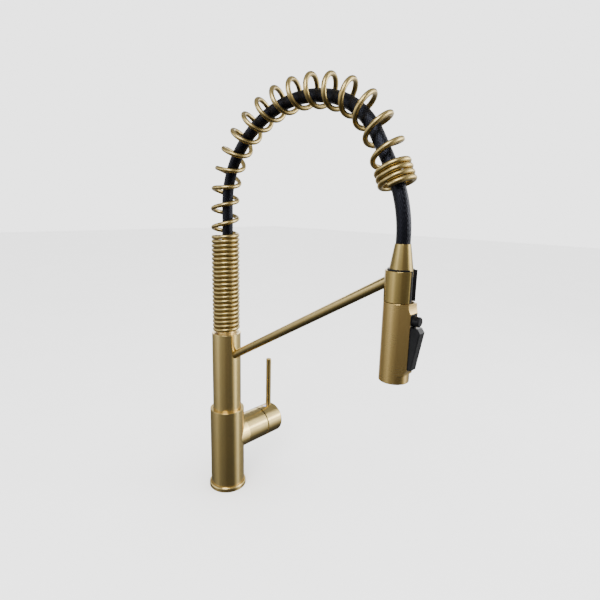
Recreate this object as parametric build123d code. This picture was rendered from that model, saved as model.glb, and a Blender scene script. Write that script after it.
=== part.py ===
from build123d import *
from math import atan2, cos, degrees, pi, radians, sin, sqrt, tan
import os

# Pull-down kitchen faucet with an exposed spring arch.
# Frame: origin at the centre of the base, on the deck plane. +Z is up, the arm reaches towards -Y
# and the lever branch towards +X. All sizes are in millimetres.

# Base and body
FLANGE_R = 27.0
FLANGE_H = 6.8
BODY_R = 24.5
BODY_TOP = 124.0
CORE_R = 20.7
CORE_TOP = 98.0
BRANCH_R = 23.0
BRANCH_Z = 77.0
BRANCH_END = 63.0
CARTRIDGE_R = 17.4
TILT_X = 46.0            # the lever tilts about Y through this point of the branch axis
TILT_CLEAR_R = 29.5      # the cap stays outside this sphere round the tilt point
CAP_END = 93.4
LEVER_X = 84.0
LEVER_R = 4.0
LEVER_TOP = 178.6

# Base ports: hot, outlet and cold, and the fixing stud
PORT_R = 4.5
PORT_RING_R = 14.6
PORT_ANGLES = (51, 0, -51)
PORT_DEPTH = 12.0
STUD_R = 3.4
STUD_DEPTH = 18.0

# Swivelling riser
JOURNAL_R = 17.0
SHOULDER_Z = 118.7
RISER_R = 20.2
RISER_WALL = 2.5
RISER_TOP = 238.5

# Hose and spring, in the plane of the arm. U is the distance from the column axis.
HOSE_R = 7.2
HOSE_BORE_R = 4.0
HOSE_SHIFT = 5.0         # the hose leans on the inside of the arch
WIRE_R = 2.8
COIL_R = 16.2            # to the wire's centre
CLOSED_TURNS = 23
CLOSED_PITCH = 5.85
COIL_START_Z = RISER_TOP + WIRE_R + 0.3
ARCH_START_Z = 414.0
ARCH_BENDS = ((111.0, 42.6), (151.0, 64.4), (93.5, 49.0))
ARCH_LAST_RUN = 46.0
OPEN_TURNS = 16
END_TURNS = 3.5
END_PITCH = 5.9
WIRE_GAP = 0.4           # the arch wire starts this far above the end of the closed turns
WIRE_CORNERS = 8         # straight runs per turn of the arch wire
WIRE_PHASE = -pi / 2     # the arch wire carries on from the closed turns at +X
HOSE_FOOT_Z = 2.0
HOSE_LEAN_Z = 310.0
HOSE_LEAN_R = 400.0
HOSE_BENDS = ((106.0, 42.6), (146.0, 64.4), (92.0, 43.0))
HOSE_TAIL_BEND = (133.0, 30.0)

# Arm and docking ring
ARM_R = 5.45
ARM_ROOT_Z = 198.7
ARM_RISE = 29.8
HEAD_U = 271.0
RING_R = 15.65
RING_WALL = 2.1
RING_BOTTOM = 327.3
RING_TOP = 358.0
SLOT_W = 15.4
SLOT_LIP = 1.2            # the liner's cheeks over the slot's two ends
SLOT_TURN = 12.0         # the ring's slot stands this far round from the arm's line

# Spray head
HEAD_R = 15.4
HEAD_BOTTOM = 245.0
SHOULDER_TOP = 326.9
NECK_R = 12.1
SLEEVE_WALL = 1.1
NECK_TOP = 352.0
NUT_FOOT = 352.3
NUT_TOP = 383.8
HOSE_END_Z = 356.0
NUT_TOP_R = 7.8
HEAD_CAVITY_R = 13.0
PAD_D = 17.5             # flat pad under the controls, from the head's axis
PAD_HALF_W = 6.9
PAD_LOW = 260.5
PAD_HIGH = 317.5
PAD_FLARE = 6.0
PAD_TOP_FLARE = 9.0
POCKET_D = 8.4
MODE_HALF_W = 5.8
MODE_LOW = 260.8
MODE_HIGH = 304.4
HINGE_D = 15.2
HINGE_Z = 264.0
BUTTON_Z = 310.2
BUTTON_R = 5.0
BUTTON_FACE_D = 24.8


def tube(outer, inner, low, high):
    ring = Cylinder(outer, high - low) - Cylinder(inner, high - low)
    return Pos(0, 0, (low + high) / 2) * ring


def rod(radius, low, high):
    return Pos(0, 0, (low + high) / 2) * Cylinder(radius, high - low)


def on_branch(shape):
    """Turn a shape made along +Z so that it lies along the lever branch, +X."""
    return Pos(0, 0, BRANCH_Z) * Rot(0, 90, 0) * shape


def on_head(shape):
    return Pos(0, -HEAD_U, 0) * shape


def radial(radius, near, far, z):
    """A round bar that points out of the head towards -Y, between two distances from its axis."""
    bar = Rot(90, 0, 0) * Cylinder(radius, far - near)
    return Pos(0, -(near + far) / 2, z) * bar


def port_place(angle):
    return PORT_RING_R * cos(radians(angle)), PORT_RING_R * sin(radians(angle))


# ---------------------------------------------------------------- base and body

def base_flange():
    ring = rod(FLANGE_R, 0, FLANGE_H)
    ring = fillet(ring.edges().group_by(Axis.Z)[-1], 2.2)
    ring -= rod(CORE_R + 0.15, 0, FLANGE_H)
    return ring - tube(24.8, 22.5, 0, 1.6)


def deck_seal():
    return tube(24.7, 22.6, 0, 1.5)


def body_shell():
    column = rod(BODY_R, FLANGE_H, BODY_TOP)
    branch = on_branch(rod(BRANCH_R, 0, BRANCH_END))
    shell = column + branch
    joint = [e for e in shell.edges() if e.geom_type not in (GeomType.CIRCLE, GeomType.LINE)]
    shell = fillet(joint, 1.6)
    rims = shell.edges().filter_by(GeomType.CIRCLE)
    shell = fillet([e for e in rims if e.center().Z > BODY_TOP - 1 or e.center().X > 60], 0.6)
    shell -= rod(CORE_R + 0.15, FLANGE_H, CORE_TOP + 1)
    shell -= rod(19.0, CORE_TOP, BODY_TOP)
    shell -= rod(RISER_R + 0.3, 117.4, BODY_TOP)
    shell -= on_branch(rod(19.8, 5, BRANCH_END))
    return shell - Pos(0, 22, 108) * Rot(90, 0, 0) * Cylinder(2.55, 10)


def waterway_core():
    core = rod(CORE_R, 0, CORE_TOP) - rod(8.6, 0, CORE_TOP)
    core -= Pos(CORE_R + 6.8, 0, BRANCH_Z) * Box(21.2, 50, 44)
    for angle, top in zip(PORT_ANGLES, (71.0, 84.0, 71.0)):
        x, y = port_place(angle)
        core -= Pos(x, y, 0) * rod(PORT_R, 0, PORT_DEPTH)
        inner = (x - 1.6, y) if angle == 0 else (x, y)
        core -= Pos(inner[0], inner[1], 0) * rod(2.0, PORT_DEPTH, top)
        core -= Pos(inner[0] + 4, inner[1], top - 2) * Rot(0, 90, 0) * Cylinder(1.9, 8)
    return core - Pos(-PORT_RING_R, 0, 0) * rod(STUD_R, 0, STUD_DEPTH)


def seat_ports():
    return [(-8.0, 11.2), (5.0, 0.0), (-8.0, -11.2)]


def cartridge_seat():
    seat = rod(19.5, 16.9, 30)
    for x, y in seat_ports():
        seat -= Pos(x * -1, y, 0) * rod(1.9, 16.9, 30)
        seat -= Pos(x * -1, y, 0) * rod(4.3, 28.8, 30)
    return on_branch(seat)


def cartridge_seals():
    rings = [Pos(-x, y, 0) * tube(4.2, 2.4, 28.85, 30.2) for x, y in seat_ports()]
    return on_branch(Compound(children=rings))


def cartridge_body():
    body = rod(CARTRIDGE_R, 30.3, 50) + rod(13.5, 50, 56)
    body -= rod(14.6, 32.8, 48)
    body -= rod(10.5, 48, 56)
    for x, y in seat_ports():
        body -= Pos(-x, y, 0) * rod(1.9, 30.3, 33)
    return on_branch(body)


def fixed_disc():
    disc = rod(14.4, 33, 36.2)
    for x, y in seat_ports():
        disc -= Pos(-x * 0.85, y * 0.85, 0) * rod(1.9, 33, 36.2)
    return on_branch(disc)


def moving_disc():
    disc = rod(13.0, 36.25, 39.5)
    return on_branch(disc - Pos(0, 0, 36.25) * Cylinder(5.0, 3))


def cartridge_rotor():
    rotor = rod(14.3, 39.6, 47.6)
    rotor -= Pos(0, 0, 44) * Box(20, 8.6, 8.8)
    rotor -= Pos(0, 0, TILT_X) * Rot(90, 0, 0) * Cylinder(1.55, 24)
    return on_branch(rotor)


def rotor_pin():
    return Pos(TILT_X, 0, BRANCH_Z) * Rot(90, 0, 0) * Cylinder(1.5, 24)


def cartridge_stem():
    stem = rod(4.0, 41.5, 79.5)
    stem -= Pos(0, 0, TILT_X) * Rot(90, 0, 0) * Cylinder(1.55, 12)
    return on_branch(stem)


def clamp_nut():
    nut = rod(19.6, 50.2, 60) - rod(14.0, 50.2, 60)
    nut = nut - Pos(0, 0, 60) * Box(3, 41, 3) - Pos(0, 0, 60) * Box(41, 3, 3)
    return on_branch(nut)


def handle_cap():
    cap = rod(BRANCH_R, 60, CAP_END)
    cap = fillet(cap.edges().group_by(Axis.Z)[-1], 2.0)
    cap -= rod(4.02, 60, 79.6)
    cap = on_branch(cap)
    cap -= Pos(TILT_X, 0, BRANCH_Z) * Sphere(TILT_CLEAR_R)
    cap -= Pos(LEVER_X, 0, 0) * rod(LEVER_R, BRANCH_Z + 12, BRANCH_Z + 30)
    cap -= Pos(76, 0, 0) * rod(2.0, BRANCH_Z, BRANCH_Z + 30)
    return cap - Pos(76, 0, 0) * rod(2.8, BRANCH_Z + 20.5, BRANCH_Z + 30)


def lever_pin():
    pin = Pos(LEVER_X, 0, 0) * rod(LEVER_R, BRANCH_Z + 12, LEVER_TOP)
    return fillet(pin.edges().group_by(Axis.Z)[-1], 1.4)


def grub_screw():
    screw = Pos(76, 0, 0) * rod(2.0, BRANCH_Z + 4.05, BRANCH_Z + 12)
    return screw - Pos(76, 0, BRANCH_Z + 10.5) * extrude(RegularPolygon(1.15, 6), 3)


def indicator_plug():
    plug = Pos(76, 0, 0) * rod(2.75, BRANCH_Z + 20.5, BRANCH_Z + 24)
    return plug & on_branch(rod(BRANCH_R + 0.25, 60, CAP_END))


# ---------------------------------------------------------------- riser

def swivel_bush():
    bush = tube(18.95, JOURNAL_R + 0.05, 99.2, 117.3)
    return bush - Pos(0, 18, 108) * Rot(90, 0, 0) * Cylinder(2.7, 8)


def thrust_washer():
    return tube(RISER_R, JOURNAL_R + 0.1, 117.45, 118.65)


def swivel_set_screw():
    screw = Pos(0, 19.95, 108) * Rot(90, 0, 0) * Cylinder(2.5, 7.3)
    hexagon = extrude(RegularPolygon(1.4, 6), 4)
    return screw - Pos(0, 24, 108) * Rot(90, 0, 0) * hexagon


def riser_tube():
    riser = rod(RISER_R, SHOULDER_Z, RISER_TOP) + rod(JOURNAL_R, 98.6, SHOULDER_Z)
    riser = fillet(riser.edges().group_by(Axis.Z)[-1], 0.5)
    riser -= rod(RISER_R - RISER_WALL, 121.5, RISER_TOP)
    riser -= rod(14.4, 98.6, 122)
    riser -= tube(JOURNAL_R + 1, 16.0, 105, 111)
    return riser - arm_bar(3.2) - arm_bar(4.9, 12, 15.7)


def hose_guide():
    return tube(14.35, 7.6, 100, 114)


def spring_holder():
    holder = tube(RISER_R - RISER_WALL - 0.02, 9.0, 222, RISER_TOP + 0.1)
    return holder + tube(12.9, 9.0, RISER_TOP, 300)


def arm_bar(radius, near=0.0, far=HEAD_U):
    """A bar along the arm's line, between two horizontal distances from the column axis."""
    rise = tan(radians(ARM_RISE))
    length = (far - near) / cos(radians(ARM_RISE))
    mid = (near + far) / 2
    bar = Rot(90 - ARM_RISE, 0, 0) * Cylinder(radius, length)
    return Pos(0, -mid, ARM_ROOT_Z + mid * rise) * bar


def arm_rod():
    arm = arm_bar(ARM_R) - rod(RISER_R, 100, 300)
    arm -= on_head(rod(RING_R, 300, 400))
    return arm - arm_bar(2.5, 0, 42)


def arm_screw():
    screw = arm_bar(2.5, 14, 41.8) + arm_bar(4.6, 12.4, 15.6)
    return screw - arm_bar(1.5, 10, 14)


def ring_slot(width, low, high):
    cut = Pos(0, -20, (low + high) / 2) * Box(width, 40, high - low)
    return on_head(Rot(0, 0, SLOT_TURN) * cut)


def holder_ring():
    ring = tube(RING_R, RING_R - RING_WALL, RING_BOTTOM, RING_TOP)
    ring = fillet(ring.edges().filter_by(GeomType.CIRCLE), 0.4)
    return on_head(ring) - ring_slot(SLOT_W + 2 * SLOT_LIP, RING_BOTTOM - 1, RING_TOP + 1)


def holder_liner():
    inner = NECK_R + 0.35
    liner = on_head(tube(RING_R - RING_WALL - 0.02, inner, RING_BOTTOM + 0.2, RING_TOP + 1.6))
    cheeks = on_head(tube(RING_R + 0.3, inner, RING_BOTTOM + 0.2, RING_TOP + 0.8))
    liner += cheeks & ring_slot(SLOT_W + 2 * SLOT_LIP - 0.04, RING_BOTTOM, RING_TOP + 1)
    return liner - ring_slot(SLOT_W, RING_BOTTOM - 1, RING_TOP + 3)


# ---------------------------------------------------------------- spring and hose

def arch_point(distance):
    """Where the spring's centreline is, and its heading in degrees, this far past the arch start."""
    u, z, heading = 0.0, ARCH_START_Z, 90.0
    for radius, turn in ARCH_BENDS:
        length = radius * radians(turn)
        used = min(max(distance, 0.0), length)
        bend = degrees(used / radius)
        centre_u = u + radius * sin(radians(heading))
        centre_z = z - radius * cos(radians(heading))
        heading -= bend
        u = centre_u - radius * sin(radians(heading))
        z = centre_z + radius * cos(radians(heading))
        distance -= used
        if bend < turn:
            break
    u += distance * cos(radians(heading))
    z += distance * sin(radians(heading))
    return u, z, heading


def arch_length():
    bends = sum(radius * radians(turn) for radius, turn in ARCH_BENDS)
    return bends + ARCH_LAST_RUN


def wire_point(distance, phase, radius):
    u, z, heading = arch_point(distance)
    out = radius * cos(phase)
    side = radius * sin(phase)
    u += out * sin(radians(heading))
    z -= out * cos(radians(heading))
    return Vector(-side, -u, z)


def closed_coil():
    height = CLOSED_TURNS * CLOSED_PITCH
    path = Pos(0, 0, COIL_START_Z) * Helix(CLOSED_PITCH, height, COIL_R)
    start = Plane(origin=path @ 0, z_dir=path % 0)
    return sweep(start * Circle(WIRE_R), path=path, is_frenet=True)


def arch_wire_points():
    """Corners of the wire from the top of the closed coil to the open end of the spring.

    The corners stand outside the coil's radius, so that the rounded runs between them lie on it.
    """
    closed_top = COIL_START_Z + CLOSED_TURNS * CLOSED_PITCH
    start = closed_top - ARCH_START_Z + WIRE_GAP
    corner_r = COIL_R / cos(pi / WIRE_CORNERS)
    end_run = END_TURNS * END_PITCH
    open_run = arch_length() - end_run - start
    count = int(OPEN_TURNS * WIRE_CORNERS)
    last = count + int(END_TURNS * WIRE_CORNERS)
    points = []
    for i in range(last + 1):
        if i <= count:
            distance = start + open_run * i / count
        else:
            distance = arch_length() - end_run + END_PITCH * (i - count) / WIRE_CORNERS
        radius = COIL_R if i in (0, last) else corner_r
        points.append(wire_point(distance, WIRE_PHASE - 2 * pi * i / WIRE_CORNERS, radius))
    return points


def swept_tube(points, radius, share=0.48):
    """A round bar whose path is straight runs joined by tangent arcs."""
    radii = []
    for before, here, after in zip(points, points[1:], points[2:]):
        turn = radians((here - before).get_angle(after - here))
        run = min((here - before).length, (after - here).length)
        radii.append(share * run / tan(turn / 2))
    path = FilletPolyline(*points, radius=radii)
    start = Plane(origin=path @ 0, z_dir=path % 0)
    return sweep(start * Circle(radius), path=path), min(radii)


def arch_coil():
    bar, _ = swept_tube(arch_wire_points(), WIRE_R)
    return bar


ARM_PLANE = Plane(origin=(0, 0, 0), x_dir=(0, -1, 0), z_dir=(-1, 0, 0))


def bend_after(line, radius, turn):
    """An arc that carries on from a line or arc. A positive turn goes towards the arm's end."""
    return JernArc(start=line @ 1, tangent=line % 1, radius=radius, arc_size=-turn)


def run_after(line, length):
    return Line(line @ 1, (line @ 1) + (line % 1) * length)


def hose_lines():
    """The hose's centreline from inside the base to the spray head, as lines and tangent arcs."""
    lean = degrees(2 * atan2(sqrt(HOSE_SHIFT), sqrt(4 * HOSE_LEAN_R - HOSE_SHIFT)))
    lines = [Line((0, HOSE_FOOT_Z), (0, HOSE_LEAN_Z))]
    lines.append(bend_after(lines[-1], HOSE_LEAN_R, lean))
    lines.append(bend_after(lines[-1], HOSE_LEAN_R, -lean))
    lines.append(run_after(lines[-1], ARCH_START_Z - (lines[-1] @ 1).Y))
    for radius, turn in HOSE_BENDS:
        lines.append(bend_after(lines[-1], radius, turn))
    heading = lines[-1] % 1
    radius, turn = HOSE_TAIL_BEND
    tail_reach = radius * (1 - cos(radians(turn)))
    lines.append(run_after(lines[-1], (HEAD_U - tail_reach - (lines[-1] @ 1).X) / heading.X))
    tail = [bend_after(lines[-1], *HOSE_TAIL_BEND)]
    tail.append(run_after(tail[-1], (tail[-1] @ 1).Y - HOSE_END_Z))
    return lines, tail


def hose_tube(lines):
    path = ARM_PLANE * Wire(lines)
    start = Plane(origin=path @ 0, z_dir=path % 0)
    return sweep(start * Circle(HOSE_R), path=path) - sweep(start * Circle(HOSE_BORE_R), path=path)


def hose_arch():
    return hose_tube(hose_lines()[0])


def hose_tail():
    return hose_tube(hose_lines()[1])


# ---------------------------------------------------------------- spray head

def cone_nut():
    taper_foot = RING_TOP - 1.5
    outline = Polyline((0, NUT_FOOT), (NECK_R, NUT_FOOT), (NECK_R, taper_foot), (NUT_TOP_R, NUT_TOP),
                       (0, NUT_TOP), close=True)
    nut = revolve(Plane.XZ * make_face(outline), Axis.Z)
    nut = fillet(nut.edges().group_by(Axis.Z)[-1], 0.3)
    nut -= rod(5.85, NUT_FOOT, NUT_TOP)
    nut -= rod(8.8, HOSE_END_Z - 1.9, HOSE_END_Z + 11)
    return on_head(nut - rod(HOSE_R + 0.1, HOSE_END_Z, NUT_TOP))


def hose_ferrule():
    return on_head(tube(8.7, HOSE_R + 0.05, HOSE_END_Z + 0.1, HOSE_END_Z + 10))


def hose_nipple():
    nipple = rod(3.9, HOSE_END_Z - 1, HOSE_END_Z + 18) + rod(5.8, 328, HOSE_END_Z - 1)
    nipple += rod(8.2, HOSE_END_Z - 1.85, HOSE_END_Z - 0.05)
    for z in (332, 337):
        nipple -= tube(6.5, 4.9, z, z + 2)
    return on_head(nipple - rod(2.6, 328, HOSE_END_Z + 18))


def nipple_seals():
    rings = [tube(5.85, 4.95, z + 0.1, z + 1.9) for z in (332, 337)]
    return on_head(Compound(children=rings))


def check_valve():
    valve = rod(5.7, 319, 327.5) - rod(3.4, 319, 324)
    return on_head(valve - rod(1.6, 323, 328))


def head_outline():
    """The head's section through the pad: a circle with two tangent walls out to the pad."""
    reach = sqrt(PAD_D ** 2 + PAD_HALF_W ** 2)
    touch = atan2(PAD_HALF_W, PAD_D) + atan2(sqrt(reach ** 2 - HEAD_R ** 2), HEAD_R)
    side, depth = HEAD_R * sin(touch), HEAD_R * cos(touch)
    pad = Polyline((-side, -depth), (-PAD_HALF_W, -PAD_D), (PAD_HALF_W, -PAD_D), (side, -depth),
                   close=True)
    return make_face(pad)


def control_pad():
    """The raised pad, flared back into the round head above and below."""
    low, high = PAD_LOW - PAD_FLARE, PAD_HIGH + PAD_TOP_FLARE
    block = Pos(0, 0, low) * extrude(head_outline(), high - low)
    for end, flare in ((PAD_LOW, -PAD_FLARE), (PAD_HIGH, PAD_TOP_FLARE)):
        rise = PAD_D - HEAD_R
        radius = (flare ** 2 + rise ** 2) / (2 * rise)
        scoop = Pos(0, -HEAD_R - radius, end + flare) * Rot(0, 90, 0)
        block -= scoop * Cylinder(radius, 50)
    return block


def spray_shell():
    shell = rod(HEAD_R, HEAD_BOTTOM, SHOULDER_TOP)
    shell = fillet(shell.edges().filter_by(GeomType.CIRCLE), 0.7)
    shell += control_pad()
    shell += rod(NECK_R - SLEEVE_WALL, SHOULDER_TOP, NECK_TOP)
    shell -= rod(HEAD_CAVITY_R, HEAD_BOTTOM, 317)
    shell -= rod(5.9, 317, NECK_TOP)
    pocket_high = MODE_HIGH + 0.6
    pocket_low = MODE_LOW - 0.9
    pocket = Pos(0, -(POCKET_D + 20) / 2, (pocket_low + pocket_high) / 2)
    shell -= pocket * Box(2 * MODE_HALF_W + 0.7, 20 - POCKET_D, pocket_high - pocket_low)
    shell -= bezel_plate(0.1)
    shell -= radial(BUTTON_R + 0.3, 5, 20, BUTTON_Z)
    return on_head(shell - hinge_bar(1.2))


def neck_sleeve():
    return on_head(tube(NECK_R, NECK_R - SLEEVE_WALL + 0.02, SHOULDER_TOP + 0.02, NECK_TOP))


def hinge_bar(radius):
    return Pos(0, -HINGE_D, HINGE_Z) * Rot(0, 90, 0) * Cylinder(radius, 15.4)


def bezel_plate(gap):
    high = PAD_HIGH - 0.6 + gap
    low = MODE_HIGH + 0.6
    block = Box(2 * (PAD_HALF_W - 0.7 + gap), 1.2 + gap, high - low)
    return Pos(0, -PAD_D + 0.6 - gap / 2, (low + high) / 2) * block


def control_bezel():
    return on_head(bezel_plate(0) - radial(BUTTON_R + 0.3, 10, 20, BUTTON_Z))


def spray_core():
    core = rod(12.6, 262, 316.5) - rod(4.5, 262, 316.5)
    return on_head(core - Pos(0, -17.9, 290) * Box(30, 20, 60))


def nozzle_plate():
    plate = rod(12.9, HEAD_BOTTOM + 0.5, 249.5) - rod(7.3, 240, 250)
    for place in PolarLocations(10.2, 20):
        plate -= place * rod(0.7, 240, 250)
    return on_head(plate)


def aerator():
    cage = rod(7.2, HEAD_BOTTOM + 0.9, 258) - rod(5.6, 248.5, 256)
    for place in HexLocations(1.5, 3, 3):
        cage -= place * rod(0.95, 240, 260)
    return on_head(cage)


def spray_button():
    button = radial(BUTTON_R, 11.3, BUTTON_FACE_D, BUTTON_Z)
    button = chamfer(button.edges().group_by(Axis.Y)[0], 0.8)
    return on_head(button - radial(3.6, 11.3, 14.5, BUTTON_Z))


def button_spring():
    path = Helix(0.9, 2.7, 2.8)
    wire = sweep(Plane(origin=path @ 0, z_dir=path % 0) * Circle(0.3), path=path, is_frenet=True)
    return on_head(Pos(0, -8.6, BUTTON_Z) * Rot(90, 0, 0) * wire)


def mode_lever():
    side = Polyline((13.0, MODE_LOW + 0.6), (20.9, MODE_LOW), (27.6, MODE_HIGH - 4.6),
                    (24.6, MODE_HIGH - 0.4), (13.0, MODE_HIGH), close=True)
    wedge = extrude(ARM_PLANE * make_face(side), MODE_HALF_W, both=True)
    rims = [e for e in wedge.edges() if e.center().Y < -19 and abs(e.center().X) > 1]
    wedge = chamfer(rims, 1.1)
    return on_head(wedge - hinge_bar(1.25))


def lever_hinge_pin():
    return on_head(hinge_bar(1.18))


PARTS = (base_flange, deck_seal, body_shell, waterway_core, cartridge_seat, cartridge_seals,
         cartridge_body, fixed_disc, moving_disc, cartridge_rotor, rotor_pin, cartridge_stem,
         clamp_nut, handle_cap, lever_pin, grub_screw, indicator_plug, swivel_bush,
         thrust_washer, swivel_set_screw, riser_tube, hose_guide, spring_holder, arm_rod,
         arm_screw, holder_ring, holder_liner, closed_coil, arch_coil, hose_arch, hose_tail,
         cone_nut, hose_ferrule, hose_nipple, nipple_seals, check_valve, spray_shell, neck_sleeve,
         control_bezel, spray_core, nozzle_plate, aerator, spray_button, button_spring,
         mode_lever, lever_hinge_pin)


def main():
    os.makedirs("parts", exist_ok=True)
    for make in PARTS:
        export_step(make(), f"parts/{make.__name__}.step")


main()
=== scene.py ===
from math import asin, cos, degrees, pi, radians, sin, sqrt

import bpy
from mathutils import Matrix, Vector


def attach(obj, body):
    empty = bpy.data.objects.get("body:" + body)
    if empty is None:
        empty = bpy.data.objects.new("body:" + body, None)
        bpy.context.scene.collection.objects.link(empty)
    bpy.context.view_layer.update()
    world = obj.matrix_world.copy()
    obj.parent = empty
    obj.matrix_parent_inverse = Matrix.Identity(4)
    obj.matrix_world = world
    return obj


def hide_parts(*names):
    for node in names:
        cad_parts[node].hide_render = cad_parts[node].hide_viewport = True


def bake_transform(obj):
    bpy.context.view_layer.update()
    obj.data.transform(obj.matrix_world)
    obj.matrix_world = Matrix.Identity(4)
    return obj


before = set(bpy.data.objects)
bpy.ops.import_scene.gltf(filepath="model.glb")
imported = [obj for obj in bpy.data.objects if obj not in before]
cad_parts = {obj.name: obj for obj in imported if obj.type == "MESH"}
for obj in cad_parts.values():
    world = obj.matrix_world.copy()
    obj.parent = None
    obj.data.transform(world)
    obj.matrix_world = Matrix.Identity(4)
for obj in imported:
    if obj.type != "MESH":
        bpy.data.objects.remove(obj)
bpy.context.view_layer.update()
MM = 0.001

# The spring's and the hose's routes, as in the CAD source. They lie in the plane of the arm:
# U is the distance from the column's axis towards -Y. A move is a run (length,) or a bend
# (radius, turn in degrees), positive towards the arm's end.
WIRE_R = 2.8 * MM
COIL_R = 16.2 * MM
CLOSED_TURNS = 23
CLOSED_PITCH = 5.85 * MM
COIL_START_Z = 241.6 * MM
ARCH_START_Z = 414.0 * MM
ARCH_BENDS = ((111.0 * MM, 42.6), (151.0 * MM, 64.4), (93.5 * MM, 49.0))
ARCH_LAST_RUN = 46.0 * MM
OPEN_TURNS = 16
END_TURNS = 3.5
END_PITCH = 5.9 * MM
PITCH_CHANGE = 0.3        # half the number of turns over which the spring's pitch changes
WIRE_STEPS = 44           # points in each turn of the wire
WIRE_SIDES = 18
WIRE_EDGE = 0.35          # the rounding of the wire's cut end, as a part of its radius
HEAD_U = 271.0 * MM
HOSE_R = 7.2 * MM
HOSE_FOOT_Z = 2.0 * MM
HOSE_LEAN_Z = 310.0 * MM
HOSE_LEAN_R = 400.0 * MM
HOSE_SHIFT = 5.0 * MM
HOSE_BENDS = ((106.0 * MM, 42.6), (146.0 * MM, 64.4), (92.0 * MM, 43.0))
HOSE_TAIL_BEND = (133.0 * MM, 30.0)
HOSE_END_Z = 356.0 * MM
HOSE_SIDES = 40
HOSE_STEP = 1.5 * MM      # between points of the hose in the spring
TAIL_STEP = 1.0 * MM      # and of its tail


# ---------------------------------------------------------------- routes and swept meshes

def length_of(moves):
    """How long a route is."""
    return sum(move[0] * radians(abs(move[1])) if len(move) == 2 else move[0] for move in moves)


def place_on(foot_z, moves, distance):
    """(u, z, heading) this far along a route that starts on the column's axis, heading up."""
    u, z, heading = 0.0, foot_z, pi / 2
    for move in moves:
        length = length_of([move])
        used = min(distance, length)
        turn = radians(move[1]) * used / length if len(move) == 2 else 0.0
        chord = used if turn == 0.0 else 2 * move[0] * sin(abs(turn) / 2)
        u += chord * cos(heading - turn / 2)
        z += chord * sin(heading - turn / 2)
        heading -= turn
        distance -= used
        if distance <= 0:
            break
    return u, z, heading


def sweep(name, path, radius, sides, round_ends=False):
    """A round bar mesh along 3-D points, with UVs: x once round it, y in metres along it."""
    path = [Vector(p) for p in path]
    steps = [(b - a).normalized() for a, b in zip(path, path[1:])]
    tangents = [steps[0], *[(a + b).normalized() for a, b in zip(steps, steps[1:])], steps[-1]]
    side = tangents[0].orthogonal().normalized()
    rings = []
    distance = 0.0
    for i, (place, tangent) in enumerate(zip(path, tangents)):
        distance += (place - path[i - 1]).length if i else 0.0
        side = (side - tangent * side.dot(tangent)).normalized()
        rings.append((place, tangent, side, radius, distance))
    if round_ends:
        rings = rounded_end(rings[0], -1) + rings + rounded_end(rings[-1], 1)
    verts, faces, uvs = [], [], []
    for place, tangent, out, r, _ in rings:
        across = tangent.cross(out)
        for k in range(sides):
            angle = 2 * pi * k / sides
            verts.append(place + out * (r * cos(angle)) + across * (r * sin(angle)))
    for i in range(len(rings) - 1):
        near, far = i * sides, (i + 1) * sides
        v0, v1 = rings[i][4], rings[i + 1][4]
        for k in range(sides):
            nxt = (k + 1) % sides
            faces.append((near + k, near + nxt, far + nxt, far + k))
            uvs += [(k / sides, v0), ((k + 1) / sides, v0), ((k + 1) / sides, v1), (k / sides, v1)]
    last = (len(rings) - 1) * sides
    faces.append(tuple(reversed(range(sides))))
    faces.append(tuple(range(last, last + sides)))
    uvs += [(k / sides, rings[0][4]) for k in reversed(range(sides))]
    uvs += [(k / sides, rings[-1][4]) for k in range(sides)]
    return mesh_piece(name, verts, faces, uvs)


def rounded_end(ring, way):
    """A few narrowing rings that round off the cut end of a wire."""
    place, tangent, side, radius, distance = ring
    edge = radius * WIRE_EDGE
    steps = 3
    rings = []
    for i in range(1, steps + 1):
        angle = i / steps * pi / 2
        end = place + tangent * (way * edge * sin(angle))
        rings.append((end, tangent, side, radius - edge * (1 - cos(angle)), distance))
    return rings[::way]


def mesh_piece(name, verts, faces, uvs=None, smooth=True):
    """A mesh object in the scene, with a UV for each face corner."""
    mesh = bpy.data.meshes.new(name)
    mesh.from_pydata(verts, [], faces)
    if uvs:
        layer = mesh.uv_layers.new(name="UVMap")
        for loop, uv in zip(layer.data, uvs):
            loop.uv = uv
    if smooth:
        mesh.shade_smooth()
    piece = bpy.data.objects.new(name, mesh)
    bpy.context.collection.objects.link(piece)
    return piece


def ease(x, half):
    """0 before -half, 1 after half, smooth between."""
    t = min(max((x + half) / (2 * half), 0.0), 1.0)
    return t * t * (3 - 2 * t)


def spring_path():
    """The spring's wire: closed turns on the column, open ones over the arch, closed end turns."""
    moves = ((ARCH_START_Z - COIL_START_Z,), *ARCH_BENDS, (ARCH_LAST_RUN,))
    closed, ends = CLOSED_TURNS * CLOSED_PITCH, END_TURNS * END_PITCH
    open_pitch = (length_of(moves) - closed - ends) / OPEN_TURNS
    path = []
    distance = 0.0
    for i in range(int((CLOSED_TURNS + OPEN_TURNS + END_TURNS) * WIRE_STEPS) + 1):
        turn = i / WIRE_STEPS
        u, z, heading = place_on(COIL_START_Z, moves, distance)
        out = -COIL_R * sin(2 * pi * turn)
        across = COIL_R * cos(2 * pi * turn)
        path.append((across, -(u + out * sin(heading)), z - out * cos(heading)))
        opened = ease(turn - CLOSED_TURNS, PITCH_CHANGE)
        ended = ease(turn - CLOSED_TURNS - OPEN_TURNS, PITCH_CHANGE)
        pitch = CLOSED_PITCH + (open_pitch - CLOSED_PITCH) * opened + (END_PITCH - open_pitch) * ended
        distance += pitch / WIRE_STEPS
    return path


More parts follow.
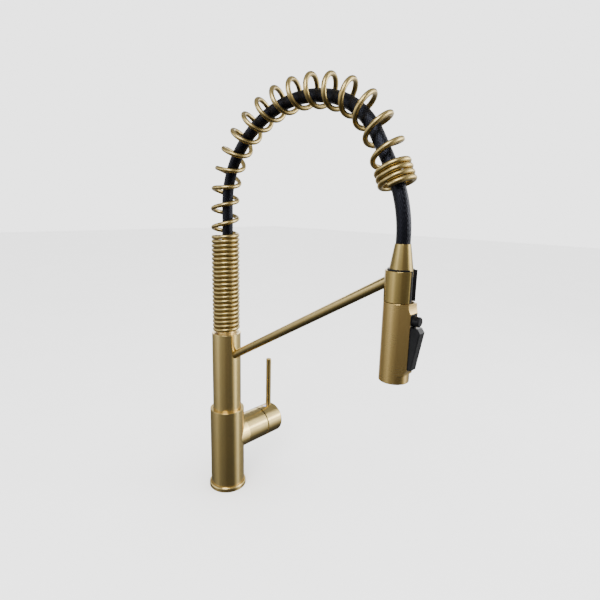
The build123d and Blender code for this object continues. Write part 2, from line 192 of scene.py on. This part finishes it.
def hose_moves():
    """The hose's moves inside the column and the spring, and those of its tail to the head."""
    lean = degrees(2 * asin(sqrt(HOSE_SHIFT / (4 * HOSE_LEAN_R))))
    rise = 2 * HOSE_LEAN_R * sin(radians(lean))
    moves = [(HOSE_LEAN_Z - HOSE_FOOT_Z,), (HOSE_LEAN_R, lean), (HOSE_LEAN_R, -lean),
             (ARCH_START_Z - HOSE_LEAN_Z - rise,), *HOSE_BENDS]
    u, z, heading = place_on(HOSE_FOOT_Z, moves, length_of(moves))
    radius, turn = HOSE_TAIL_BEND
    run = (HEAD_U - radius * (1 - cos(radians(turn))) - u) / cos(heading)
    moves.append((run,))
    drop = z + run * sin(heading) - radius * sin(radians(turn)) - HOSE_END_Z
    return moves, [HOSE_TAIL_BEND, (drop,)]


def hose_path(first, last, moves, step):
    """Points along a route between two distances, in the frame's coordinates."""
    count = round((last - first) / step)
    places = [place_on(HOSE_FOOT_Z, moves, first + (last - first) * i / count) for i in range(count + 1)]
    return [(0.0, -u, z) for u, z, _ in places]


# ---------------------------------------------------------------- materials

class Nodes:
    """A material's node tree, with short calls for the nodes that the materials share."""

    def __init__(self, name):
        self.material = bpy.data.materials.new(name)
        self.material.use_nodes = True
        self.tree = self.material.node_tree
        self.shader = self.tree.nodes["Principled BSDF"]

    def add(self, kind, **settings):
        node = self.tree.nodes.new("ShaderNode" + kind)
        for key, value in settings.items():
            setattr(node, key, value)
        return node

    def link(self, out, into):
        self.tree.links.new(out, into)

    def math(self, operation, a, b=None):
        """A sum of one or two values. Each may be a number or a socket."""
        node = self.add("Math", operation=operation)
        for socket, value in zip(node.inputs, (a, b)):
            if value is None:
                continue
            if isinstance(value, (int, float)):
                socket.default_value = value
            else:
                self.link(value, socket)
        return node.outputs[0]

    def place(self, scale, source="Object"):
        """Coordinates stretched by a scale for each axis."""
        coords = self.add("TexCoord")
        mapping = self.add("Mapping")
        mapping.inputs["Scale"].default_value = scale
        self.link(coords.outputs[source], mapping.inputs["Vector"])
        return mapping.outputs["Vector"]

    def noise(self, vector, scale, detail=3.0, rough=0.55):
        node = self.add("TexNoise")
        node.inputs["Scale"].default_value = scale
        node.inputs["Detail"].default_value = detail
        node.inputs["Roughness"].default_value = rough
        self.link(vector, node.inputs["Vector"])
        return node.outputs["Fac"]

    def spread(self, value, low, high):
        """Maps a noise's middle range onto low..high."""
        node = self.add("MapRange")
        node.inputs["From Min"].default_value = 0.3
        node.inputs["From Max"].default_value = 0.7
        node.inputs["To Min"].default_value = low
        node.inputs["To Max"].default_value = high
        self.link(value, node.inputs["Value"])
        return node.outputs["Result"]

    def blend(self, factor, first, second):
        """A colour between two, by a factor. Each may be a colour or a socket."""
        node = self.add("Mix", data_type="RGBA")
        self.link(factor, node.inputs[0])
        for socket, value in zip((node.inputs[6], node.inputs[7]), (first, second)):
            if isinstance(value, tuple):
                socket.default_value = (*value, 1.0)
            else:
                self.link(value, socket)
        return node.outputs[2]

    def pick(self, factor, first, second):
        """The second of two vectors or colours where the factor is 1."""
        node = self.add("Mix", data_type="VECTOR")
        self.link(factor, node.inputs[0])
        self.link(first, node.inputs[4])
        self.link(second, node.inputs[5])
        return node.outputs[1]

    def bump(self, height, strength, distance, edge=0.0):
        """Relief from a height. An edge radius rounds the corners in the shading."""
        node = self.add("Bump")
        node.inputs["Strength"].default_value = strength
        node.inputs["Distance"].default_value = distance
        self.link(height, node.inputs["Height"])
        if edge:
            bevel = self.add("Bevel")
            bevel.inputs["Radius"].default_value = edge
            self.link(bevel.outputs["Normal"], node.inputs["Normal"])
        self.link(node.outputs["Normal"], self.shader.inputs["Normal"])

    def set(self, **values):
        """Numbers that are the same all over the surface, by socket name."""
        for key, value in values.items():
            self.shader.inputs[key.replace("_", " ")].default_value = value


# The brass: each has a colour, and a deeper one that clouds over it.
BRASS = (0.72, 0.55, 0.23)
BRASS_DEEP = (0.66, 0.49, 0.19)
WIRE_BRASS = (0.48, 0.37, 0.155)
WIRE_BRASS_DEEP = (0.40, 0.30, 0.115)
# The darker brass is the bar's own tone. On the body's branch and on the lever cap it is painted shade,
# for the darker look those horizontal cylinders take from the light.
BAR_AND_SHADED_BRASS = (0.52, 0.40, 0.17)
BAR_AND_SHADED_BRASS_DEEP = (0.46, 0.35, 0.14)
RING_BRASS = (0.50, 0.37, 0.13)
RING_BRASS_DEEP = (0.45, 0.33, 0.11)
CONE_BRASS = (0.30, 0.23, 0.085)
CONE_BRASS_DEEP = (0.26, 0.19, 0.065)
BARREL_BRASS = (0.60, 0.43, 0.16)
BARREL_BRASS_DEEP = (0.55, 0.38, 0.14)

# The lines that the brass pieces are turned about: a point, and the axis.
COLUMN_LINE = ((0.0, 0.0, 0.0), "Z")
HEAD_LINE = ((0.0, -HEAD_U, 0.0), "Z")
BRANCH_LINE = ((0.0, 0.0, 77.0 * MM), "X")
BRANCH_FROM_X = 25.5 * MM      # past this the body's shell is the branch
BRUSH_AROUND = 5.0             # the brush lines' scale round the axis, and along it
BRUSH_ALONG = 1500.0
BRUSH_GLOSS = 0.006            # how much they change the roughness
ALONG_THE_AXIS = 0.25          # turns the shader's stretch a quarter turn from its tangent


def turned_frame(n, line):
    """Coordinates in which the brush lines run (fine only along the axis), and their direction."""
    point, axis = line
    coords = n.add("TexCoord")
    shift = n.add("VectorMath", operation="SUBTRACT")
    shift.inputs[1].default_value = point
    n.link(coords.outputs["Object"], shift.inputs[0])
    fine = n.add("VectorMath", operation="MULTIPLY")
    fine.inputs[1].default_value = {"Z": (BRUSH_AROUND, BRUSH_AROUND, BRUSH_ALONG),
                                    "X": (BRUSH_ALONG, BRUSH_AROUND, BRUSH_AROUND)}[axis]
    n.link(shift.outputs["Vector"], fine.inputs[0])
    around = n.add("VectorMath", operation="CROSS_PRODUCT")
    around.inputs[0].default_value = {"Z": (0, 0, 1), "X": (1, 0, 0)}[axis]
    n.link(shift.outputs["Vector"], around.inputs[1])
    return fine.outputs["Vector"], around.outputs["Vector"]


def turned_brass(name, line, rough=0.25, base=BRASS, deep=BRASS_DEEP, stretch=0.6, branch=None):
    """Satin brass with fine brush lines that run round its line, as turning leaves them.

    With a branch, the part of the piece past BRANCH_FROM_X is turned about that line instead, and its
    colour is the darker brass: painted shade for the darker look the branch takes from the light.
    """
    n = Nodes(name)
    vector, around = turned_frame(n, line)
    if branch:
        coords = n.add("TexCoord")
        split = n.add("SeparateXYZ")
        n.link(coords.outputs["Object"], split.inputs["Vector"])
        out = n.math("GREATER_THAN", split.outputs["X"], BRANCH_FROM_X)
        pairs = zip((vector, around), turned_frame(n, branch))
        vector, around = (n.pick(out, own, other) for own, other in pairs)
    fine = n.noise(vector, 1.0, 1.0, 0.5)
    cloud = n.noise(n.place((1, 1, 1)), 28.0, 3.0)
    tone = n.blend(n.spread(cloud, 0, 1), base, deep)
    if branch:
        # Painted shade: the branch is coloured with the darker brass.
        tone = n.pick(out, tone, n.blend(n.spread(cloud, 0, 1), BAR_AND_SHADED_BRASS, BAR_AND_SHADED_BRASS_DEEP))
    n.link(tone, n.shader.inputs["Base Color"])
    patch = n.spread(cloud, rough - 0.015, rough + 0.02)
    brushed = n.math("ADD", patch, n.spread(fine, -BRUSH_GLOSS, BRUSH_GLOSS))
    n.link(brushed, n.shader.inputs["Roughness"])
    n.set(Metallic=1.0, Anisotropic=stretch)
    n.shader.inputs["Anisotropic Rotation"].default_value = ALONG_THE_AXIS
    turn = n.add("VectorTransform", vector_type="VECTOR", convert_from="OBJECT", convert_to="WORLD")
    n.link(around, turn.inputs["Vector"])
    n.link(turn.outputs["Vector"], n.shader.inputs["Tangent"])
    n.bump(fine, 0.006, 0.03 * MM)
    return n.material


def drawn_brass(name):
    """Satin brass bar without turning marks, a little cloudy."""
    n = Nodes(name)
    fine = n.noise(n.place((1, 1, 1)), 700.0, 3.0)
    cloud = n.noise(n.place((1, 1, 1)), 45.0, 3.0)
    tone = n.blend(n.spread(cloud, 0, 1), BAR_AND_SHADED_BRASS, BAR_AND_SHADED_BRASS_DEEP)
    n.link(tone, n.shader.inputs["Base Color"])
    n.link(n.spread(cloud, 0.24, 0.31), n.shader.inputs["Roughness"])
    n.set(Metallic=1.0)
    n.bump(fine, 0.04, 0.03 * MM)
    return n.material


def wire_brass(name):
    """The spring's drawn wire: bright, with faint die lines along it and small dull patches."""
    n = Nodes(name)
    along = n.noise(n.place((140, 9, 1), "UV"), 1.0, 3.0)
    cloud = n.noise(n.place((1, 1, 1)), 60.0, 3.0)
    tone = n.blend(n.spread(cloud, 0, 1), WIRE_BRASS, WIRE_BRASS_DEEP)
    n.link(tone, n.shader.inputs["Base Color"])
    n.link(n.math("ADD", n.spread(cloud, 0.27, 0.34), n.spread(along, -0.02, 0.03)),
           n.shader.inputs["Roughness"])
    n.set(Metallic=1.0, Anisotropic=0.3)
    n.bump(along, 0.12, 0.05 * MM)
    return n.material


BRAID_CARRIERS = 20            # strands each way round the hose
BRAID_THREADS = 3              # threads in a strand
# The braid is near-black nylon. Its colour is darker in the hollows between strands as painted shade,
# and paler on the strand tops as painted light.
BRAID_PAINTED_SHADE = (0.0003, 0.0003, 0.0004)
BRAID_PAINTED_LIGHT = (0.001, 0.001, 0.0015)
BRAID_GLINT = (0.72, 0.76, 1.0, 1.0)


def braid(name):
    """Black nylon braid: two sets of strands that cross on a slope, over and under."""
    n = Nodes(name)
    coords = n.add("TexCoord")
    split = n.add("SeparateXYZ")
    n.link(coords.outputs["UV"], split.inputs["Vector"])
    girth = 2 * pi * HOSE_R
    around = n.math("MULTIPLY", split.outputs["X"], BRAID_CARRIERS)
    up = n.math("MULTIPLY", split.outputs["Y"], BRAID_CARRIERS / girth * 0.5)
    first = n.math("ADD", around, up)
    second = n.math("SUBTRACT", around, up)
    cell = n.math("ADD", n.math("FLOOR", first), n.math("FLOOR", second))
    over = n.math("FLOORED_MODULO", cell, 2.0)
    heights = []
    for strand, cross in ((first, second), (second, first)):
        ridge = n.math("SINE", n.math("MULTIPLY", n.math("FRACT", strand), pi))
        arch = n.math("SINE", n.math("MULTIPLY", n.math("FRACT", cross), pi))
        threads = n.math("ABSOLUTE", n.math("SINE", n.math("MULTIPLY", strand, BRAID_THREADS * pi)))
        ridge = n.math("POWER", n.math("MAXIMUM", ridge, 0.0), 0.5)
        top = n.math("MULTIPLY", ridge, n.math("ADD", n.math("MULTIPLY", arch, 0.45), 0.55))
        heights.append(n.math("MULTIPLY", top, n.math("ADD", n.math("MULTIPLY", threads, 0.22), 0.78)))
    mix = n.add("Mix", data_type="FLOAT")
    n.link(over, mix.inputs[0])
    n.link(heights[0], mix.inputs[2])
    n.link(heights[1], mix.inputs[3])
    height = mix.outputs[0]
    # Painted shade and light: the colour follows the braid's height, darker low and paler on the tops.
    n.link(n.blend(height, BRAID_PAINTED_SHADE, BRAID_PAINTED_LIGHT), n.shader.inputs["Base Color"])
    n.set(Roughness=0.24)
    n.shader.inputs["Specular IOR Level"].default_value = 0.2
    n.shader.inputs["Specular Tint"].default_value = BRAID_GLINT
    n.bump(height, 0.5, 0.4 * MM)
    return n.material


def plastic(name, colour, rough, grain=900.0, coat=0.0, shine=0.5):
    """Moulded plastic with a fine grain and a slight change of gloss over the surface."""
    n = Nodes(name)
    fine = n.noise(n.place((1, 1, 1)), grain, 2.0)
    cloud = n.noise(n.place((1, 1, 1)), 40.0, 2.0)
    pale = tuple(min(1.0, c * 1.25 + 0.003) for c in colour)
    n.link(n.blend(n.spread(cloud, 0, 1), colour, pale), n.shader.inputs["Base Color"])
    n.link(n.spread(cloud, rough - 0.04, rough + 0.05), n.shader.inputs["Roughness"])
    n.shader.inputs["Specular IOR Level"].default_value = shine
    if coat:
        n.shader.inputs["Coat Weight"].default_value = coat
        n.shader.inputs["Coat Roughness"].default_value = 0.12
    n.bump(fine, 0.25, 0.03 * MM, 0.3 * MM)
    return n.material


def machined(name, colour, rough):
    """Bare machined metal of the hidden pieces, with turning marks and dull spots."""
    n = Nodes(name)
    marks = n.noise(n.place((60, 60, 900)), 1.0, 3.0)
    cloud = n.noise(n.place((1, 1, 1)), 70.0, 3.0)
    deep = tuple(c * 0.8 for c in colour)
    n.link(n.blend(n.spread(cloud, 0, 1), colour, deep), n.shader.inputs["Base Color"])
    n.link(n.spread(cloud, rough - 0.05, rough + 0.07), n.shader.inputs["Roughness"])
    n.set(Metallic=1.0)
    n.bump(marks, 0.2, 0.05 * MM, 0.2 * MM)
    return n.material


def indicator(name):
    """The small plug in the lever cap: warm one side, cool the other."""
    n = Nodes(name)
    coords = n.add("TexCoord")
    split = n.add("SeparateXYZ")
    n.link(coords.outputs["Object"], split.inputs["Vector"])
    side = n.math("GREATER_THAN", split.outputs["Y"], 0.0)
    n.link(n.blend(side, (0.38, 0.44, 0.66), (0.62, 0.42, 0.42)), n.shader.inputs["Base Color"])
    n.set(Roughness=0.2)
    return n.material


# ---------------------------------------------------------------- pieces

def dress(material, *nodes):
    """Gives a material to these CAD pieces."""
    for node in nodes:
        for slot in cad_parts[node].material_slots:
            slot.material = material


def build_spring(material):
    """The spring's one wire, in place of its two CAD pieces."""
    spring = sweep("spring_wire", spring_path(), WIRE_R, WIRE_SIDES, round_ends=True)
    spring.data.materials.append(material)
    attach(spring, "column")
    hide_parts("closed_coil", "arch_coil")


def build_hose(material):
    """The hose in the column and spring, and its tail to the head, a fixed mesh that doesn't draw out as
    the head is pulled.
    """
    top, tail = hose_moves()
    length = length_of(top)
    upper = sweep("hose_in_spring", hose_path(0.0, length, top, HOSE_STEP), HOSE_R, HOSE_SIDES)
    upper.data.materials.append(material)
    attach(upper, "column")
    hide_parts("hose_arch")
    whole = top + tail
    path = hose_path(length, length_of(whole), whole, TAIL_STEP)
    lower = sweep("hose_to_head", path, HOSE_R, HOSE_SIDES)
    for loop in lower.data.uv_layers[0].data:
        loop.uv.y += length
    lower.data.materials.append(material)
    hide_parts("hose_tail")
    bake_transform(lower)


# The viewpoint: its place in the frame, its turn, its tilt down and its roll in degrees.
CAMERA_PLACE = (-0.3877, -0.4885, 0.4174)
CAMERA_TURN = -48.0
CAMERA_DOWN = 11.92
CAMERA_ROLL = 1.42


def build_camera():
    camera = bpy.data.objects.new("camera", bpy.data.cameras.new("camera"))
    camera.data.lens = 26.9
    camera.data.sensor_width = 36.0
    camera.data.clip_start = 0.02
    place = Matrix.Translation(CAMERA_PLACE)
    turn = Matrix.Rotation(radians(CAMERA_TURN), 4, "Z")
    tilt = Matrix.Rotation(radians(90 - CAMERA_DOWN), 4, "X")
    roll = Matrix.Rotation(radians(CAMERA_ROLL), 4, "Z")
    camera.matrix_world = place @ turn @ tilt @ roll
    bpy.context.collection.objects.link(camera)
    bpy.context.scene.camera = camera


def build_floor():
    """A pale, faintly mottled floor, which the bright metal doesn't mirror."""
    size = 6.0
    corners = [(-size, -size, 0), (size, -size, 0), (size, size, 0), (-size, size, 0)]
    floor = mesh_piece("floor", corners, [(0, 1, 2, 3)], smooth=False)
    n = Nodes("floor")
    cloud = n.noise(n.place((1, 1, 1)), 5.0, 3.0)
    n.link(n.blend(cloud, (0.88, 0.88, 0.88), (0.93, 0.93, 0.93)), n.shader.inputs["Base Color"])
    n.set(Roughness=0.9)
    floor.data.materials.append(n.material)
    floor.visible_glossy = False


def soft_light(name, place, target, size, power):
    """A rectangular lamp that faces its target."""
    light = bpy.data.lights.new(name, "AREA")
    light.shape = "RECTANGLE"
    light.size, light.size_y = size
    light.energy = power
    lamp = bpy.data.objects.new(name, light)
    lamp.location = place
    lamp.rotation_euler = (Vector(target) - Vector(place)).to_track_quat("-Z", "Y").to_euler()
    bpy.context.collection.objects.link(lamp)


# What the metal mirrors, by compass angle: (angle from +X in degrees, brightness, warmth)
STUDIO_BANDS = ((-180, 0.60, 0.0), (-152, 0.36, 0.1), (-134, 0.19, 0.35), (-108, 0.18, 0.25),
                (-86, 0.25, 0.0), (-70, 1.5, 0.0), (-52, 4.4, 0.0), (-38, 1.4, 0.0), (-12, 1.0, 0.0),
                (20, 1.1, 0.0), (54, 1.4, 0.0), (86, 0.42, 0.0), (112, 0.50, 0.0), (140, 1.0, 0.0),
                (160, 1.4, 0.0), (172, 0.95, 0.0))
# How bright those bands are by height: (0 straight down to 1 straight up, brightness)
STUDIO_LEVELS = ((0.0, 0.04), (0.13, 0.10), (0.24, 0.25), (0.36, 0.55), (0.46, 1.15),
                 (0.57, 1.3), (0.62, 4.0), (0.65, 3.0), (0.70, 0.30), (0.8, 0.25))
CEILING_FROM, CEILING_WHOLE = 0.8, 0.88    # the plain ceiling starts and fills the view here
CEILING_LIGHT = (0.5, 0.5, 0.5)
ROOM_LIGHT = (2.9, 2.9, 2.9)               # what lights the matt surfaces
BACKDROP = (3.0, 3.0, 3.0)                 # what the camera sees


def world_ramp(tree, fac, stops):
    """A smooth colour ramp through these stops."""
    ramp = tree.nodes.new("ShaderNodeValToRGB")
    ramp.color_ramp.interpolation = "EASE"
    ramp.color_ramp.elements.remove(ramp.color_ramp.elements[1])
    for i, (place, colour) in enumerate(stops):
        stop = ramp.color_ramp.elements[0] if i == 0 else ramp.color_ramp.elements.new(place)
        stop.position = place
        stop.color = (*colour, 1.0)
    tree.links.new(fac, ramp.inputs["Fac"])
    return ramp.outputs["Color"]


def world_mix(tree, fac, first, second):
    """A colour between two, by a factor. Each may be a colour or a socket."""
    mix = tree.nodes.new("ShaderNodeMix")
    mix.data_type = "RGBA"
    tree.links.new(fac, mix.inputs[0])
    for socket, value in zip((mix.inputs[6], mix.inputs[7]), (first, second)):
        if isinstance(value, tuple):
            socket.default_value = (*value, 1.0)
        else:
            tree.links.new(value, socket)
    return mix.outputs[2]


def build_world():
    """A plain white room, with upright bands of light and shade for the metal to mirror."""
    world = bpy.data.worlds.new("studio")
    bpy.context.scene.world = world
    world.use_nodes = True
    tree = world.node_tree
    coords = tree.nodes.new("ShaderNodeTexCoord")
    around = tree.nodes.new("ShaderNodeTexGradient")
    around.gradient_type = "RADIAL"
    tree.links.new(coords.outputs["Generated"], around.inputs["Vector"])
    stops = [(a / 360 + 0.5, (b, b * (1 - 0.3 * w), b * (1 - 0.5 * w))) for a, b, w in STUDIO_BANDS]
    bands = world_ramp(tree, around.outputs["Fac"], [*stops, (1.0, stops[0][1])])
    split = tree.nodes.new("ShaderNodeSeparateXYZ")
    tree.links.new(coords.outputs["Generated"], split.inputs["Vector"])
    height = tree.nodes.new("ShaderNodeMapRange")
    height.inputs["From Min"].default_value = -1.0
    tree.links.new(split.outputs["Z"], height.inputs["Value"])
    stops = ((0.0, (0, 0, 0)), (CEILING_FROM, (0, 0, 0)), (CEILING_WHOLE, (1, 1, 1)))
    above = world_ramp(tree, height.outputs["Result"], stops)
    stops = [(fac, (value, value, value)) for fac, value in STUDIO_LEVELS]
    levels = world_ramp(tree, height.outputs["Result"], stops)
    mirrored = tree.nodes.new("ShaderNodeVectorMath")
    mirrored.operation = "MULTIPLY"
    tree.links.new(bands, mirrored.inputs[0])
    tree.links.new(levels, mirrored.inputs[1])
    mirrored = world_mix(tree, above, mirrored.outputs["Vector"], CEILING_LIGHT)
    path = tree.nodes.new("ShaderNodeLightPath")
    room = world_mix(tree, path.outputs["Is Glossy Ray"], ROOM_LIGHT, mirrored)
    seen = world_mix(tree, path.outputs["Is Camera Ray"], room, BACKDROP)
    tree.links.new(seen, tree.nodes["Background"].inputs["Color"])


# ---------------------------------------------------------------- the scene

column_brass = turned_brass("brass_column", COLUMN_LINE, branch=BRANCH_LINE)
# The lever cap's darker brass is painted shade.
cap_brass = turned_brass("brass_cap", BRANCH_LINE, 0.25, BAR_AND_SHADED_BRASS, BAR_AND_SHADED_BRASS_DEEP)
ring_brass = turned_brass("brass_bright", HEAD_LINE, 0.20, RING_BRASS, RING_BRASS_DEEP, 0.5)
cone_brass = turned_brass("brass_cone", HEAD_LINE, 0.20, CONE_BRASS, CONE_BRASS_DEEP, 0.4)
barrel_brass = turned_brass("brass_barrel", HEAD_LINE, 0.28, BARREL_BRASS, BARREL_BRASS_DEEP, 0.3)
bar_brass = drawn_brass("brass_bar")
black = plastic("black_plastic", (0.003, 0.003, 0.0035), 0.26, shine=0.14)
white = plastic("white_plastic", (0.78, 0.77, 0.73), 0.45)
grey = plastic("nozzle_grey", (0.10, 0.10, 0.105), 0.5)
rubber = plastic("seal_rubber", (0.015, 0.015, 0.016), 0.7, grain=600.0)
ceramic = plastic("disc_ceramic", (0.82, 0.81, 0.77), 0.18, coat=0.4)
bare_brass = machined("brass_machined", (0.72, 0.56, 0.27), 0.35)
steel = machined("steel_machined", (0.55, 0.55, 0.56), 0.32)

dress(column_brass, "base_flange", "body_shell", "riser_tube")
dress(cap_brass, "handle_cap")
dress(bar_brass, "arm_rod", "lever_pin")
dress(ring_brass, "holder_ring")
dress(cone_brass, "cone_nut")
dress(barrel_brass, "spray_shell")
dress(black, "holder_liner", "control_bezel", "spray_button", "mode_lever", "neck_sleeve")
dress(white, "cartridge_body", "cartridge_rotor", "swivel_bush", "thrust_washer", "hose_guide",
      "check_valve", "spray_core")
dress(grey, "nozzle_plate", "aerator")
dress(rubber, "deck_seal", "cartridge_seals", "nipple_seals")
dress(ceramic, "fixed_disc", "moving_disc")
dress(bare_brass, "waterway_core", "cartridge_seat", "clamp_nut", "spring_holder", "hose_nipple")
dress(steel, "rotor_pin", "cartridge_stem", "grub_screw", "swivel_set_screw", "arm_screw",
      "hose_ferrule", "button_spring", "lever_hinge_pin")
dress(indicator("indicator"), "indicator_plug")

build_spring(wire_brass("brass_wire"))
build_hose(braid("hose_braid"))
build_camera()
build_floor()
build_world()
MIDDLE = (0, -0.1, 0.25)
soft_light("key", (-0.9, -0.6, 1.3), MIDDLE, (0.8, 0.8), 20.0)
soft_light("fill", (0.9, -0.9, 0.9), MIDDLE, (0.6, 1.2), 7.0)
